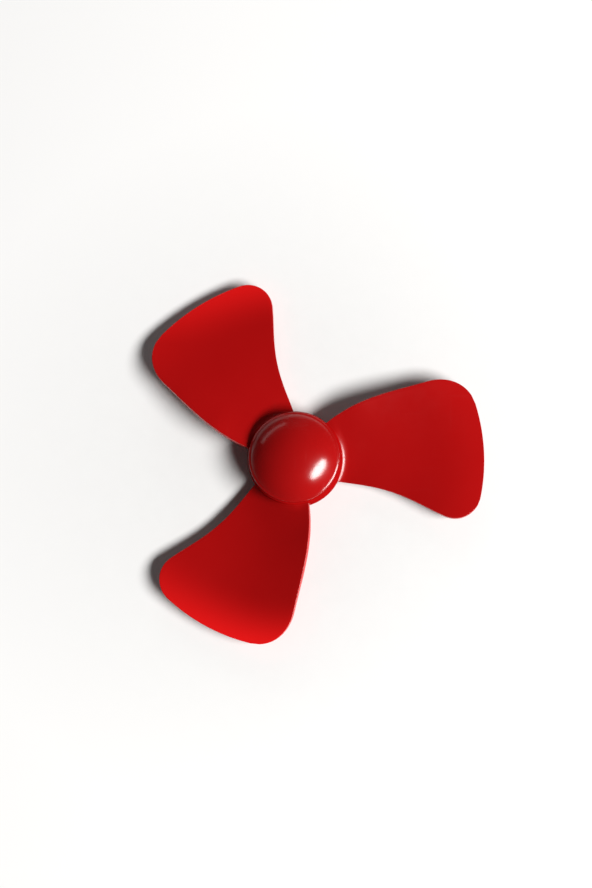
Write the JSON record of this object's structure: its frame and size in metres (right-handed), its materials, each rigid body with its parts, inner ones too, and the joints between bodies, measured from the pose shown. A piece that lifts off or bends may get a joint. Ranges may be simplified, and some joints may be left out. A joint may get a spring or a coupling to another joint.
{
  "type": "toy propeller",
  "caption": "Glossy red plastic toy propeller with wide twisted blades around a domed spinner cap, free to spin on a steel axle in a flat-backed mounting base.",
  "frame": {"origin": "centre of the mounting base's flat rear face, on the spin axis", "axes": "+Z along the spin axis from the flat rear face towards the domed cap; +X close to the centre line of one blade, turned 3.7 degrees from it"},
  "size_m": [0.071, 0.0771, 0.0099],
  "materials": {
    "red_plastic": "satin-gloss moulded plastic, self-coloured red",
    "red_cap_plastic": "glossy moulded plastic, self-coloured red",
    "brass": "turned brass",
    "steel": "bright drawn steel",
    "dark_base_plastic": "matt moulded plastic, dark grey",
    "zinc": "zinc-plated steel",
    "spring_steel": "dark spring steel"
  },
  "bodies": {
    "mount": {"rear_base": "dark_base_plastic", "axle_pin": "steel", "thrust_washer_rear": "zinc", "thrust_washer_front": "zinc", "retaining_clip": "spring_steel"},
    "rotor": {"rotor_blades_hub": "red_plastic", "spinner_cap": "red_cap_plastic", "bearing_bush": "brass"}
  },
  "joints": [
    {"name": "rotor_spin", "type": "hinge", "parent": "mount", "child": "rotor", "pos_m": [0, 0, 0], "axis": [0, 0, 1], "continuous": true}
  ]
}
